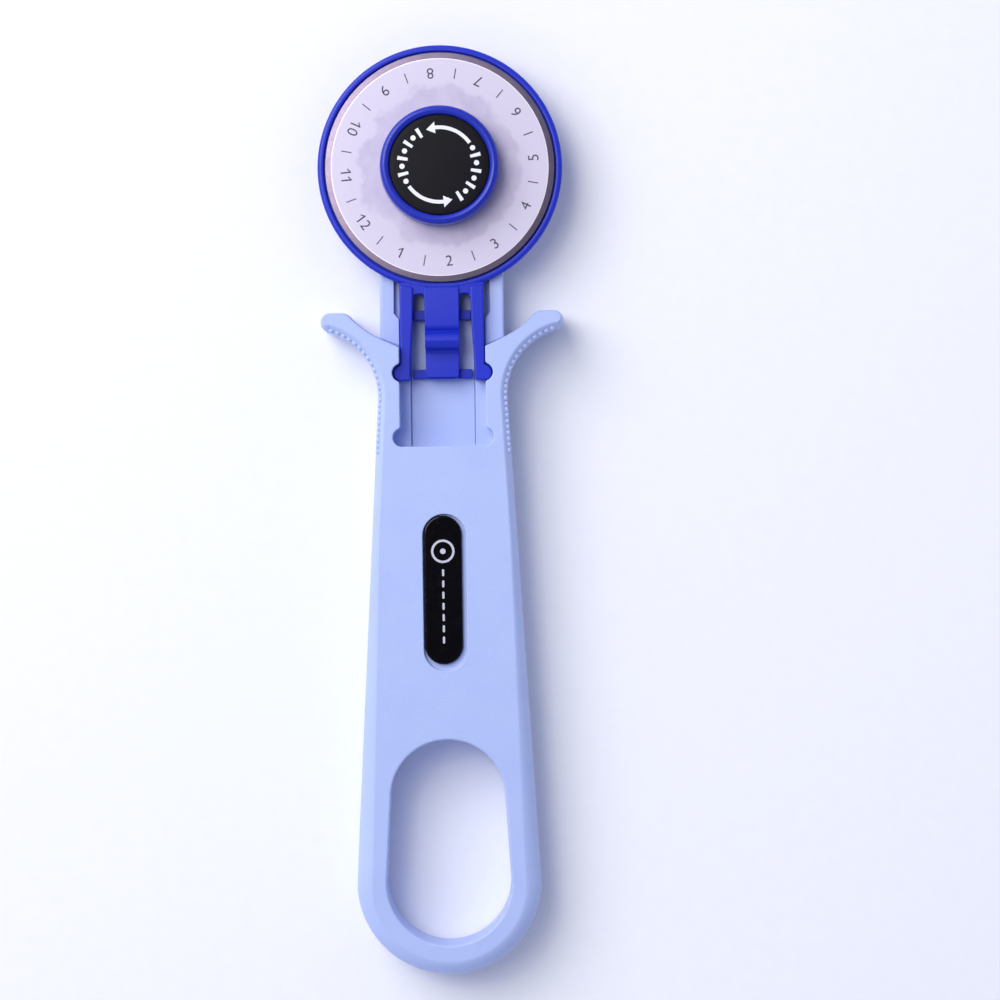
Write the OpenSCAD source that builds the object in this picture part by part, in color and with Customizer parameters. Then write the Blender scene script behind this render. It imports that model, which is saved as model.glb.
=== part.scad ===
// Rotary cutter with a sliding blade guard and a loop-ended handle, lying on its back.
// X runs across the cutter, +Y points to the blade end, +Z out of the front face.
// The shapes are drawn round the blade's pivot, with the handle towards -Y, and from_pivot() moves
// them so that the origin is under the middle of the whole cutter, on the surface it lies on.

/* [Blade] */
// Diameter of the disc blade
blade_d = 45; // [44:0.5:45.5]
// Thickness of the disc blade
blade_t = 0.3; // [0.25:0.05:0.4]
// Diameter of the blade's centre hole
blade_hole_d = 8; // [8:0.1:8.2]
// Width of the ground edge, measured along a radius
grind_w = 1.1; // [0.6:0.1:1.6]

/* [Guard] */
// Outer diameter of the guard ring
guard_d = 48.2; // [47.6:0.2:48.6]
// How far the guard slides back to bare the blade
guard_travel = 12.7; // [12:0.1:12.8]
// Width of the thumb tongue
tongue_w = 6.8; // [6:0.2:7]
// Height of the thumb ridge above the tongue's plate
ridge_h = 2.0; // [1:0.1:2.4]
// Diameter of the ball ends on the spring legs
ball_d = 3.2; // [2.8:0.1:3.3]

/* [Knob] */
// Outer diameter of the clamp knob
knob_d = 23.5; // [22.5:0.5:24.5]
// Diameter of the black disc let into the knob
cap_d = 19.6; // [18:0.2:20]

/* [Handle] */
// Distance from the blade's pivot to the end of the loop
handle_reach = 158.6; // [150:0.2:165]
// Thickness of the handle
handle_t = 13; // [12.6:0.1:14]
// Width of the handle at its waist, below the wings
waist_w = 25.4; // [25:0.1:26]
// Width of the handle at the middle of its loop end
loop_w = 36.2; // [35:0.2:38]
// Width of the neck
neck_w = 24.4; // [24:0.1:25]
// Wall thickness of the handle shells
wall = 2.4; // [2:0.1:2.8]

/* [Badge] */
// Length of the badge plate
badge_l = 29.2; // [26:0.2:30]
// Width of the badge plate
badge_w = 7.5; // [6:0.1:8]

/* [Hidden] */

$fn = 96;
eps = 0.01;
touch = 0.03;      // gap between faces that bear on each other
run_gap = 0.05;    // radial clearance of a turning or sliding fit
slide_gap = 0.2;   // clearance under and above the sliding guard

// heights above the surface that the cutter lies on
split_z = 6.6;                        // parting plane of the handle shells, and the legs' tracks
neck_back_z = 2.6;
channel_z = split_z - 1;              // floor of the channel between the tracks
rail_z = 8.2;                         // top of the neck's side rails
guard_z = rail_z + slide_gap;         // underside of the guard plate
guard_rim_z = guard_z + 1.8;
guard_plate_t = 1.2;
bush_top_z = guard_rim_z + 0.3;
blade_z = bush_top_z + touch;
blade_top_z = blade_z + blade_t;
washer_z = blade_top_z + touch;
washer_t = 0.8;
spring_z = washer_z + washer_t + touch;
spring_t = 0.35;
spring_rise = 0.35;
nut_z = spring_z + spring_t + spring_rise + touch;
nut_t = 3.2;
knob_z = blade_top_z + 0.3;
cap_z = nut_z + nut_t + 0.3;
cap_t = 0.8;
knob_top_z = cap_z + cap_t + 0.4;

// distances from the pivot towards the loop, all along -Y
leg_start = 23.1;
bridge_end = 24.2;
foot_end = 41.9;
notch_at = 40.4;
recess_end = notch_at + guard_travel + 1.9;
body_start = 33.1;
tail_r = loop_w / 2;
tail_at = handle_reach - tail_r;
waist_at = 45;

// widths in the head, measured from the centre line
track_out = 8.45;
track_in = 6.4;
leg_out = 8.3;
notch_x = 8.1;
notch_r = ball_d / 2 + 0.2;
trough_out = 9.4;

shoulder_r = blade_hole_d / 2 - run_gap;
flats_w = 6.2;
thread_r = 3;
bush_r = 5.9;
bolt_head_w = 11;
bolt_head_z = 1.4;
bolt_head_t = 2;
screw_places = [[-7.2, -60.5], [7.2, -60.5], [0, -105.5], [0, -155.7]];
screw_r = 1.1;
screw_head_r = 2.1;
screw_seat_z = 1.8;
screw_tip_z = 10.2;
badge_place = [-0.4, -83.1];
badge_t = 0.9;
pocket_place = [-0.1, -83.6];
pocket_l = 30.8;
pocket_w = 8.5;
pocket_d = 1.2;
loop_top = [0, -123.7];
loop_top_r = 11.2;
loop_end = [0, -140.6];
loop_end_r = 12.2;

pivot_y = (handle_reach - guard_d / 2) / 2;

module from_pivot() translate([0, pivot_y, 0]) children();

// ---- outlines as lists of points, anticlockwise seen from the front ----

function arc(centre, r, from, to, steps) =
    [for (i = [0:steps]) let (a = from + (to - from) * i / steps) centre + r * [cos(a), sin(a)]];

function part_way(v, from, to) = min(max((v - from) / (to - from), 0), 1);

// Each point is moved out along the outline's normal by its own distance.
function grown(points, by) =
    let (n = len(points))
    [for (i = [0:n - 1])
        let (along = points[(i + 1) % n] - points[(i + n - 1) % n])
        points[i] + by[i] * [along.y, -along.x] / norm(along)];

function same(value, count) = [for (i = [1:count]) value];

// Half of the handle's outline on the +X side, from the loop end up to the wing's root.
wing_hollow = [waist_w / 2 + 13.35, -waist_at];   // centre of the round under the wing
wing_hollow_r = 13.35;
wing_tip = [22, -30.3];
wing_tip_r = 1.88;
wing_brow = [19.75, -31.05];
wing_brow_r = 2.6;
taper = asin((tail_r - waist_w / 2) / (tail_at - waist_at));
tip_angle = atan2(wing_tip.y - wing_hollow.y, wing_tip.x - wing_hollow.x);
function tail_half() = arc([0, -tail_at], tail_r, -90, -taper, 22);
function flank_half() = [for (s = [132, 118, 104, 90, 76, 64, 54])
    [waist_w / 2 + (s - waist_at) * tan(taper), -s]];
function under_wing() = arc(wing_hollow, wing_hollow_r, 180, tip_angle, 18);
function over_wing() = concat(
    arc(wing_tip, wing_tip_r, tip_angle - 180 + 8, 90, 12),
    arc(wing_brow, wing_brow_r, 90, 135, 6),
    arc([4.56, -17.15], 18, -43.5, -64.2, 6));
function handle_half() = concat(tail_half(), flank_half(), under_wing(), over_wing());

// Width of the front bevel at each of those points: wide at the loop, narrow round the wings.
function bevel_half() = concat(
    [for (p = tail_half()) 3 - 0.4 * part_way(-p.y, tail_at, handle_reach)],
    [for (p = flank_half()) 1.4 + 1.6 * part_way(-p.y, 72, 135)],
    same(1.4, len(under_wing())),
    [for (i = [1:13]) 1.3 - 0.95 * part_way(i, 1, 8)],
    same(0.35, len(over_wing()) - 13));

function whole(half) = concat(half, [for (i = [len(half) - 1:-1:1]) half[i]]);
function whole_outline(half) = concat(half, [for (i = [len(half) - 1:-1:1]) [-half[i].x, half[i].y]]);

// The front shell also runs from the wing's root in to the thumb recess.
front_half = concat(handle_half(), [[track_out - 0.05, -35.25]]);
front_bevel = concat(bevel_half(), [0.25]);

// The thumb recess: a slot that is open towards the blade, with two pairs of round notches.
module recess() {
    translate([-track_out, -recess_end]) square([2 * track_out, recess_end - 34]);
    for (side = [1, -1]) for (at = [notch_at, notch_at + guard_travel])
        translate([side * notch_x, -at]) circle(notch_r);
}

// ---- plates ----

// The soft bevel round a shell's outer face, as a few flat terraces along a superellipse.
soft = 1.45;
terraces = 4;
bevel_h = 2.3;
function inward(t) = 1 - pow(cos(90 * t), 2 / soft);
function upward(t) = pow(sin(90 * t), 2 / soft);

// A shell's blank, outer face up: its walls are straight to the foot of the bevel.
module blank(outline, bevels, thickness) {
    foot = thickness - bevel_h;
    linear_extrude(foot) cut_out() polygon(outline);
    for (k = [1:terraces])
        linear_extrude(foot + bevel_h * upward(k / terraces))
        cut_out() polygon(grown(outline, -bevels * inward((k - 0.5) / terraces)));
}

// Takes the finger loop out of a flat shape.
module cut_out() {
    difference() {
        children();
        circle_pair(loop_top, loop_top_r, loop_end, loop_end_r);
    }
}

// Two circles and the flat sides between them.
module circle_pair(a, a_r, b, b_r) {
    lean = asin((b_r - a_r) / norm(b - a));
    side = [cos(lean), sin(lean)];
    other = [-side.x, side.y];
    translate(a) circle(a_r);
    translate(b) circle(b_r);
    polygon([b + b_r * other, b + b_r * side, a + a_r * side, a + a_r * other]);
}

module oblong(from, to, r) {
    reach = norm(to - from);
    turn = atan2(to.y - from.y, to.x - from.x);
    translate(from) rotate(turn) {
        circle(r);
        translate([0, -r]) square([reach, 2 * r]);
        translate([reach, 0]) circle(r);
    }
}

// An upright oblong round a centre.
module pill(centre, l, w) {
    reach = [0, (l - w) / 2];
    oblong(centre - reach, centre + reach, w / 2);
}

// ---- handle ----

// The grip is hollow between the recess and the finger loop, apart from the screw bosses.
hollow_from = 58;
hollow_to = 109;
function hollow_half_w(s) = waist_w / 2 + (s - waist_at) * tan(taper) - wall;

module hollow(low, high) {
    a = hollow_half_w(hollow_from);
    b = hollow_half_w(hollow_to);
    translate([0, 0, low])
    linear_extrude(high - low)
    difference() {
        polygon([[-b, -hollow_to], [b, -hollow_to], [a, -hollow_from], [-a, -hollow_from]]);
        for (p = screw_places) translate(p) circle(screw_r + 2.2);
    }
}

peg_places = [[16.4, -32.9], [-16.4, -32.9], [15.1, -133], [-15.1, -133]];
peg_r = 0.9;
peg_l = 2;

module handle_front() from_pivot() color("#aebdf7") {
    difference() {
        translate([0, 0, split_z])
            blank(whole_outline(front_half), whole(front_bevel), handle_t - split_z);
        translate([0, 0, split_z - 1]) linear_extrude(handle_t) recess();
        hollow(split_z - eps, handle_t - wall - 0.2);
        translate([0, 0, handle_t - pocket_d]) linear_extrude(pocket_d + 1)
            pill(pocket_place, pocket_l, pocket_w);
        // room under the front edge for the guard ring, when it is slid right back
        translate([0, -guard_travel, split_z - 1])
            cylinder(h = guard_rim_z + slide_gap - split_z + 1, r = guard_d / 2 + slide_gap, $fn = 180);
        for (p = screw_places) translate([p.x, p.y, split_z - eps])
            cylinder(h = screw_tip_z + 0.4 - split_z, r = screw_r - 0.15);
    }
    for (p = peg_places) translate([p.x, p.y, split_z - peg_l]) cylinder(h = peg_l + 0.5, r = peg_r);
}

module handle_back() from_pivot() color("#aab9f5") {
    difference() {
        union() {
            translate([0, 0, split_z]) mirror([0, 0, 1])
                blank(whole_outline(handle_half()), whole(bevel_half()), split_z);
            neck();
        }
        track_cuts();
        hollow(wall - 0.4, split_z + eps);
        for (p = screw_places) translate([p.x, p.y, -eps]) {
            cylinder(h = split_z + 1, r = screw_r + run_gap);
            cylinder(h = screw_seat_z + 2 * eps, r = screw_head_r + 0.15);
        }
        for (p = peg_places) translate([p.x, p.y, split_z - peg_l - 0.2])
            cylinder(h = peg_l + 1, r = peg_r + run_gap);
        bolt_seat();
    }
}

// The neck: a flat plate with a round end behind the blade, its top stepped down to two rails.
module neck() {
    translate([0, 0, neck_back_z]) linear_extrude(split_z - neck_back_z) {
        circle(neck_w / 2);
        translate([-neck_w / 2, -body_start - 4]) square([neck_w, body_start + 4]);
    }
    translate([0, 0, split_z - eps]) linear_extrude(rail_z - split_z + eps) {
        circle(neck_w / 2);
        polygon([[-neck_w / 2, 0], [-neck_w / 2, -33.4], [-track_out, -35.15],
            [track_out, -35.15], [neck_w / 2, -33.4], [neck_w / 2, 0]]);
    }
}

module track_cuts() {
    translate([0, 0, split_z]) linear_extrude(rail_z)
        polygon([[-trough_out, -19], [-trough_out, -28.5], [-track_out, -29.7], [-track_out, -40],
            [track_out, -40], [track_out, -29.7], [trough_out, -28.5], [trough_out, -19]]);
    translate([-track_in, -recess_end, channel_z]) cube([2 * track_in, recess_end - 20, rail_z]);
}

module bolt_seat() {
    translate([0, 0, -1]) cylinder(h = 20, r = blade_hole_d / 2);
    seat_w = bolt_head_w + 0.3;
    translate([-seat_w / 2, -seat_w / 2, 0]) cube([seat_w, seat_w, bolt_head_z + bolt_head_t]);
}

module handle_screws() from_pivot() color("#9aa0a8")
    for (p = screw_places) translate([p.x, p.y, screw_seat_z]) {
        difference() {
            translate([0, 0, -1.2]) cylinder(h = 1.2, r = screw_head_r);
            translate([-1.3, -0.25, -1.3]) cube([2.6, 0.5, 0.8]);
            translate([-0.25, -1.3, -1.3]) cube([0.5, 2.6, 0.8]);
        }
        cylinder(h = split_z - screw_seat_z, r = screw_r);
        translate([0, 0, split_z - screw_seat_z - eps])
            cylinder(h = screw_tip_z - split_z, r = screw_r - 0.15);
    }

module badge_plate() from_pivot() color("#101014")
    translate([0, 0, handle_t - pocket_d]) linear_extrude(badge_t) pill(badge_place, badge_l, badge_w);

// ---- pivot ----

module flats(r, across, h) {
    linear_extrude(h) intersection() {
        circle(r);
        square([2 * r + 1, across], center = true);
    }
}

module pivot_bolt() from_pivot() color("#b9bcc2") {
    difference() {
        translate([-bolt_head_w / 2, -bolt_head_w / 2, bolt_head_z])
            cube([bolt_head_w, bolt_head_w, bolt_head_t]);
        for (a = [45:90:315]) rotate(a) translate([bolt_head_w * 0.66, -5, 0]) cube([5, 10, 5]);
    }
    shoulder_top = blade_top_z + touch / 2;
    difference() {
        translate([0, 0, bolt_head_z + 0.5]) cylinder(h = nut_z - touch - bolt_head_z - 0.5, r = shoulder_r);
        for (side = [0, 1]) mirror([0, side, 0])
            translate([-10, flats_w / 2, shoulder_top]) cube([20, 10, 10]);
    }
    translate([0, 0, shoulder_top - 1]) cylinder(h = nut_z + nut_t - shoulder_top + 0.9, r = thread_r);
}

module slide_bush() from_pivot() color("#e8e8ea")
    translate([0, 0, rail_z]) difference() {
        cylinder(h = bush_top_z - rail_z, r = bush_r);
        translate([0, 0, -1]) cylinder(h = 10, r = blade_hole_d / 2);
    }

// ---- guard ----

module guard_ring() {
    r = guard_d / 2;
    rim_w = 1.2;
    round_r = 0.7;
    rotate_extrude($fn = 180) {
        square([r - rim_w, guard_plate_t]);
        difference() {
            translate([r - rim_w - eps, 0]) square([rim_w + eps, guard_rim_z - guard_z]);
            translate([r - round_r, guard_rim_z - guard_z - round_r]) difference() {
                square(round_r + eps);
                circle(round_r, $fn = 48);
            }
        }
    }
}

// Side view of the thumb tongue: X is the distance from the pivot, Y the height.
module tongue_side() {
    plate_z = guard_rim_z + 0.5;
    low_z = guard_rim_z - 1;
    ridge_r = 1.7;
    polygon(concat(
        [[bridge_end - 0.8, guard_z], [bridge_end - 0.8, guard_rim_z], [bridge_end, plate_z],
            [31.2, plate_z], [32.2, plate_z - 0.55]],
        [for (p = arc([34.1, plate_z + ridge_h - ridge_r], ridge_r, 165, 15, 12)) p],
        [[36.1, low_z + 0.35], [36.6, low_z], [38.2, low_z + 0.1], [foot_end - 0.3, low_z + 0.1],
            [foot_end, low_z - 0.2], [foot_end, split_z + 0.6], [36, split_z + 0.6], [34.5, guard_z]]));
}

module tongue_plan() {
    corner = 1;
    half = tongue_w / 2;
    polygon(concat(
        [[half, -bridge_end + 1.2], [-half, -bridge_end + 1.2], [-half, -31.5]],
        arc([-half + 0.15 + corner, -foot_end + corner], corner, 180, 270, 6),
        arc([half - 0.15 - corner, -foot_end + corner], corner, 270, 360, 6),
        [[half, -31.5]]));
}

module blade_guard() from_pivot() color("#1f2fd0") {
    half = tongue_w / 2;
    difference() {
        union() {
            translate([0, 0, guard_z]) guard_ring();
            translate([-leg_out, -bridge_end, guard_z])
                cube([2 * leg_out, bridge_end - leg_start + 0.5, guard_rim_z - guard_z]);
        }
        translate([0, 0, guard_z - 1]) linear_extrude(10)
            oblong([0, 0], [0, guard_travel], bush_r + 0.1);
        for (side = [1, -1]) slot_end(side);
    }
    intersection() {
        rotate([90, 0, -90]) translate([0, 0, -half - 1]) linear_extrude(tongue_w + 2) tongue_side();
        translate([0, 0, channel_z]) linear_extrude(10) tongue_plan();
    }
    // cross bar and foot, which run in the channel
    foot_z = channel_z + slide_gap;
    translate([-5.6, -30, foot_z]) cube([11.2, 2, 2]);
    translate([-half + 0.4, -30, foot_z + 1.9]) cube([tongue_w - 0.8, 2, guard_z - foot_z - 1.8]);
    translate([-5.8, -foot_end + 0.2, foot_z]) cube([11.6, 1.95, 1.6]);
}

// Rounded upper end of the slot between the tongue and a leg.
module slot_end(side) {
    slot_r = 0.9;
    translate([side * 4.45, -bridge_end, guard_z - 1]) cylinder(h = 10, r = slot_r, $fn = 48);
}

// Two spring legs that hang from the guard's lower edge; their tops lie on it as raised pads.
module guard_legs() from_pivot() color("#2133d4")
    for (side = [0, 1]) mirror([side, 0, 0]) difference() {
        translate([0, 0, split_z + slide_gap])
        linear_extrude(guard_rim_z + 0.5 - split_z - slide_gap) {
            polygon([[5.6, -leg_start - 0.6], [leg_out, -leg_start], [leg_out, -foot_end + 0.4],
                [leg_out - 0.4, -foot_end], [6.5, -foot_end], [6.3, -foot_end + 0.4],
                [6.3, -39], [5.75, -30]]);
            translate([notch_x, -notch_at]) circle(ball_d / 2);
        }
        translate([0, -bridge_end - touch, 0]) cube([20, 5, guard_rim_z + touch]);
    }

// ---- blade, washers and knob ----

module blade() from_pivot() color("#d9d4e6") translate([0, 0, blade_z]) {
    r = blade_d / 2;
    edge = 0.03;
    mid = blade_t / 2;
    rotate_extrude($fn = 180)
        polygon([[blade_hole_d / 2, 0], [r - grind_w, 0], [r, mid - edge], [r, mid + edge],
            [r - grind_w, blade_t], [blade_hole_d / 2, blade_t]]);
}

module keyed_hole() {
    translate([0, 0, -1]) flats(shoulder_r + 0.05, flats_w + 0.1, 10);
}

module flat_washer() from_pivot() color("#c4c6cb") translate([0, 0, washer_z]) difference() {
    cylinder(h = washer_t, r = 8.5);
    keyed_hole();
}

module spring_washer() from_pivot() color("#8f949c") {
    outer = 7.4;
    bend_r = (outer * outer + spring_rise * spring_rise) / (2 * spring_rise);
    translate([0, 0, spring_z]) intersection() {
        translate([0, 0, bend_r]) rotate([90, 0, 0]) difference() {
            cylinder(h = 40, r = bend_r, center = true, $fn = 360);
            cylinder(h = 50, r = bend_r - spring_t, center = true, $fn = 360);
        }
        difference() {
            cylinder(h = 5, r = outer);
            translate([0, 0, -1]) cylinder(h = 10, r = 4.6);
        }
    }
}

module hex(across, h) {
    cylinder(h = h, r = across / sqrt(3), $fn = 6);
}

nut_across = 10;

module knob() from_pivot() color("#2233d6") difference() {
    r = knob_d / 2;
    inner = cap_d / 2 + 0.05;
    lip_r = (r - 0.15 - inner) / 2;
    lip_z = knob_top_z - lip_r;
    bore_r = thread_r + 0.4;
    skirt_r = 9.2;
    rotate_extrude($fn = 144) polygon(concat(
        [[skirt_r, knob_z], [r - 0.5, knob_z], [r, knob_z + 0.6]],
        arc([r - 0.15 - lip_r, lip_z], lip_r, 0, 180, 12),
        [[inner, cap_z], [bore_r, cap_z], [bore_r, nut_z + touch], [skirt_r, nut_z + touch]]));
    translate([0, 0, nut_z]) hex(nut_across, nut_t);
}

module knob_nut() from_pivot() color("#c9a24a") translate([0, 0, nut_z]) difference() {
    hex(nut_across, nut_t - touch);
    translate([0, 0, -1]) cylinder(h = 10, r = thread_r + run_gap);
}

module knob_cap() from_pivot() color("#15151a") translate([0, 0, cap_z]) {
    r = cap_d / 2;
    rise = 0.3;
    rotate_extrude($fn = 144) polygon(concat([[0, 0], [r, 0]],
        [for (k = [0:6]) [r * (1 - k / 6), cap_t - rise * pow(1 - k / 6, 2)]]));
}

handle_back();
handle_front();
handle_screws();
badge_plate();
pivot_bolt();
slide_bush();
blade_guard();
guard_legs();
blade();
flat_washer();
spring_washer();
knob();
knob_nut();
knob_cap();
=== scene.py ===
# %% [markdown]
# # A rotary cutter for cloth, finished in Blender
#
# The cutter was designed as separate solids: two handle shells, a sliding blade guard, a round blade,
# a clamp knob and the metal pieces of the pivot. This lesson loads them as a fixed frame, remakes the
# pieces that are seen with soft edges, ribs, numbers and marks, and gives every piece its own finish.
# All lengths are written in millimetres and turned to metres by one number.

# %% Load the frame
import math

import bmesh
import bpy
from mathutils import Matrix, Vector


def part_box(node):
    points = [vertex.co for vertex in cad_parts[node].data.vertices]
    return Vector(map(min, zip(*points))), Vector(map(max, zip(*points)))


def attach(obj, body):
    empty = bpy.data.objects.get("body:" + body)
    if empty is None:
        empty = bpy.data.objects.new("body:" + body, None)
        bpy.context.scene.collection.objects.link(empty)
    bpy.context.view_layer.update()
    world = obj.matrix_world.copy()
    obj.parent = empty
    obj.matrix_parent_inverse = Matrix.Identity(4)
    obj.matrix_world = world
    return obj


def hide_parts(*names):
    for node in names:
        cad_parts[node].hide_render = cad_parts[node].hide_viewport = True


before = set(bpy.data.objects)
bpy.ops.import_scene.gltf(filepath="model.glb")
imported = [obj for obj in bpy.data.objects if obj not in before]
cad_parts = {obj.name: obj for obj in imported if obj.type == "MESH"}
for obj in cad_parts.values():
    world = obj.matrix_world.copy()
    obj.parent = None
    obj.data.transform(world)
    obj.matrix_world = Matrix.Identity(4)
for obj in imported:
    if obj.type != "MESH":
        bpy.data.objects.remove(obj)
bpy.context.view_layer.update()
MM = 0.001
blade_low, blade_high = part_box("blade")
PIVOT_X = round((blade_low.x + blade_high.x) / 2 / MM, 1) + 0.0
PIVOT_Y = round((blade_low.y + blade_high.y) / 2 / MM, 2)
print("pivot, mm:", round(PIVOT_X, 3), round(PIVOT_Y, 3))

# %% [markdown]
# ## Helpers for working as by hand
#
# An operator acts on everything that is selected, so each step begins with nothing selected.
# `place` turns millimetres measured from the pivot into a point of the frame. The handle runs to -Y.

# %% Selection and places
def clear():
    """Leaves edit mode and deselects everything."""
    if bpy.context.mode != "OBJECT":
        bpy.ops.object.mode_set(mode="OBJECT")
    bpy.ops.object.select_all(action="DESELECT")


def only(obj):
    """Selects one object and makes it active."""
    clear()
    obj.select_set(True)
    bpy.context.view_layer.objects.active = obj


def place(x, y, z):
    """A point given in millimetres from the pivot's axis and the ground, as a point of the frame."""
    return Vector((PIVOT_X + x, PIVOT_Y + y, z)) * MM


def edit(obj, select="NONE"):
    """Edit mode on one object, with nothing or everything selected."""
    only(obj)
    bpy.ops.object.mode_set(mode="EDIT")
    bpy.ops.mesh.select_mode(type="VERT")
    bpy.ops.mesh.select_all(action="DESELECT" if select == "NONE" else "SELECT")
    return bmesh.from_edit_mesh(obj.data)


# %% [markdown]
# ## Shapes from rings
#
# Most moulded pieces are an outline that rises, then rolls over into a flat face. By hand that is a
# circle whose points are moved onto the outline, extruded ring after ring, and closed at both ends.
# `stack` does this. The rings come from `slab`, which rounds the low and the high edge.

# %% Ring stacks
def stack(name, rings):
    """A closed solid through the rings, each a list of the same number of points in the frame."""
    clear()
    bpy.ops.mesh.primitive_circle_add(vertices=len(rings[0]), radius=MM)
    obj = bpy.context.active_object
    obj.name = obj.data.name = name
    shape = edit(obj, "ALL")
    for v, p in zip(shape.verts, rings[0]):
        v.co = p
    bpy.ops.mesh.edge_face_add()
    for before, after in zip(rings, rings[1:]):
        bpy.ops.mesh.select_all(action="DESELECT")
        bpy.ops.mesh.select_mode(type="EDGE")
        shape = bmesh.from_edit_mesh(obj.data)
        shape.verts.index_update()
        first = len(shape.verts) - len(before)
        for e in shape.edges:
            e.select_set(all(v.index >= first for v in e.verts))
        bpy.ops.mesh.extrude_edges_indiv()
        shape = bmesh.from_edit_mesh(obj.data)
        moves = {tuple(round(c, 8) for c in b): a for b, a in zip(before, after)}
        for v in [v for v in shape.verts if v.select]:
            v.co = moves[tuple(round(c, 8) for c in v.co)]
    bpy.ops.mesh.edge_face_add()
    bpy.ops.mesh.select_all(action="SELECT")
    bpy.ops.mesh.normals_make_consistent(inside=False)
    clear()
    return obj


def grown(points, by):
    """Each (x, y) point moved out along the outline's normal. `by` is one distance or one for each."""
    n = len(points)
    by = by if isinstance(by, list) else [by] * n
    moved = []
    for i, (x, y) in enumerate(points):
        ax, ay = points[(i + 1) % n][0] - points[i - 1][0], points[(i + 1) % n][1] - points[i - 1][1]
        size = math.hypot(ax, ay) or 1
        moved.append((x + by[i] * ay / size, y - by[i] * ax / size))
    return moved


def at_height(points, z):
    """One ring: (x, y) points at a height, as points of the frame."""
    return [place(x, y, z) for x, y in points]


def roll(edge, steps):
    """(inset, drop) pairs of a quarter round, from the wall to the flat face."""
    turns = [math.pi / 2 * k / steps for k in range(steps + 1)]
    return [(edge * (1 - math.cos(a)), edge * (1 - math.sin(a))) for a in turns]


def slab_end(level, way, rounding, steps, rest):
    """(inset, height) pairs from the wall to one end of a plate, which is its top if `way` is 1."""
    if not rounding:
        return [(0.0, level)]
    sign = 1 if rounding > 0 else -1
    curve = roll(abs(rounding), steps)
    last = (curve[-1][0] + rest, level) if sign > 0 else (-curve[-1][0], level + way)
    return [(sign * inset, level - way * drop) for inset, drop in curve] + [last]


def slab(name, outline, low, high, low_round=0.0, high_round=0.0, steps=4, rest=0.12):
    """An upright plate. A negative rounding flares, which gives a cutter for a soft-mouthed hole.

    A rounded end gets one more ring `rest` further in, so that its flat face is shaded flat.
    """
    rings = slab_end(low, -1, low_round, steps, rest)[::-1] + slab_end(high, 1, high_round, steps, rest)
    return stack(name, [at_height(grown(outline, -inset), z) for inset, z in rings])


# %% [markdown]
# ## Outlines
#
# An outline is a list of points that runs anticlockwise. Arcs are given by their centre, radius and
# two angles, as on a drawing. A long flat stretch gets no extra points.

# %% Arcs, circles, pills and oblongs
def arc(cx, cy, r, start, end, steps):
    """Points of an arc from one angle to another, in degrees."""
    turns = [math.radians(start + (end - start) * k / steps) for k in range(steps + 1)]
    return [(cx + r * math.cos(a), cy + r * math.sin(a)) for a in turns]


def ring_of(cx, cy, r, count=96):
    """Points of a full circle, or the corners of a regular polygon."""
    return arc(cx, cy, r, 0, 360, count)[:-1]


def two_rounds(high, high_r, low, low_r, steps=32):
    """Two round ends joined by their common tangents, one above the other."""
    lean = math.degrees(math.asin((low_r - high_r) / (high[1] - low[1])))
    return arc(*high, high_r, lean, 180 - lean, steps) + arc(*low, low_r, 180 - lean, 360 + lean, steps)


def pill(cx, cy, length, width, steps=24):
    """An upright slot with round ends."""
    reach = (length - width) / 2
    return two_rounds((cx, cy + reach), width / 2, (cx, cy - reach), width / 2, steps)


def oblong(half_width, low_y, high_y):
    """A rectangle across the middle line."""
    return [(-half_width, low_y), (half_width, low_y), (half_width, high_y), (-half_width, high_y)]


def mirrored(half):
    """The whole outline from its +X half, which runs from the bottom up."""
    return half + [(-x, y) for x, y in reversed(half) if x > 1e-9]


# %% [markdown]
# ## Turned pieces
#
# The blade, the guard's ring, the knob and its disc are round about the pivot. By hand each is a
# profile that is spun through a full turn. A spin leaves a seam, so doubles are merged and the
# normals are made to point outwards.

# %% Turning
def turned(name, profile, steps=160, cx=0.0, cy=0.0):
    """A closed profile of (radius, height) points, spun round an upright axis."""
    clear()
    bpy.ops.mesh.primitive_circle_add(vertices=len(profile), radius=MM)
    obj = bpy.context.active_object
    obj.name = obj.data.name = name
    shape = edit(obj, "ALL")
    for v, (r, z) in zip(shape.verts, profile):
        v.co = place(cx + r, cy, z)
    bpy.ops.mesh.spin(steps=steps, angle=2 * math.pi, center=place(cx, cy, 0), axis=(0, 0, 1))
    bpy.ops.mesh.select_all(action="SELECT")
    bpy.ops.mesh.remove_doubles(threshold=0.002 * MM)
    bpy.ops.mesh.dissolve_degenerate(threshold=0.001 * MM)
    bpy.ops.mesh.select_all(action="SELECT")
    bpy.ops.mesh.normals_make_consistent(inside=False)
    clear()
    return obj


# %% [markdown]
# ## Cutting, joining and finishing a piece
#
# `combine` applies a Boolean modifier at once. `bring` is the last step for every piece: it merges
# doubles, smooths by angle, weights the normals so that flat faces stay flat beside their rounded
# edges, sets the material, parents the piece to the body it rides on, and hides the frame solids it stands
# for.

# %% Booleans, edges and bringing a piece in
def combine(obj, tool, how="DIFFERENCE"):
    """Applies a Boolean with a tool, and removes the tool."""
    only(obj)
    mod = obj.modifiers.new("tool", "BOOLEAN")
    mod.object, mod.operation, mod.solver = tool, how, "EXACT"
    bpy.ops.object.modifier_apply(modifier=mod.name)
    bpy.data.objects.remove(tool)
    return obj


def ease(obj, width, angle=40, segments=3):
    """Rounds the sharp edges of a simple solid."""
    only(obj)
    mod = obj.modifiers.new("ease", "BEVEL")
    mod.width, mod.segments, mod.limit_method = width * MM, segments, "ANGLE"
    mod.angle_limit, mod.use_clamp_overlap = math.radians(angle), False
    bpy.ops.object.modifier_apply(modifier=mod.name)
    return obj


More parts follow.
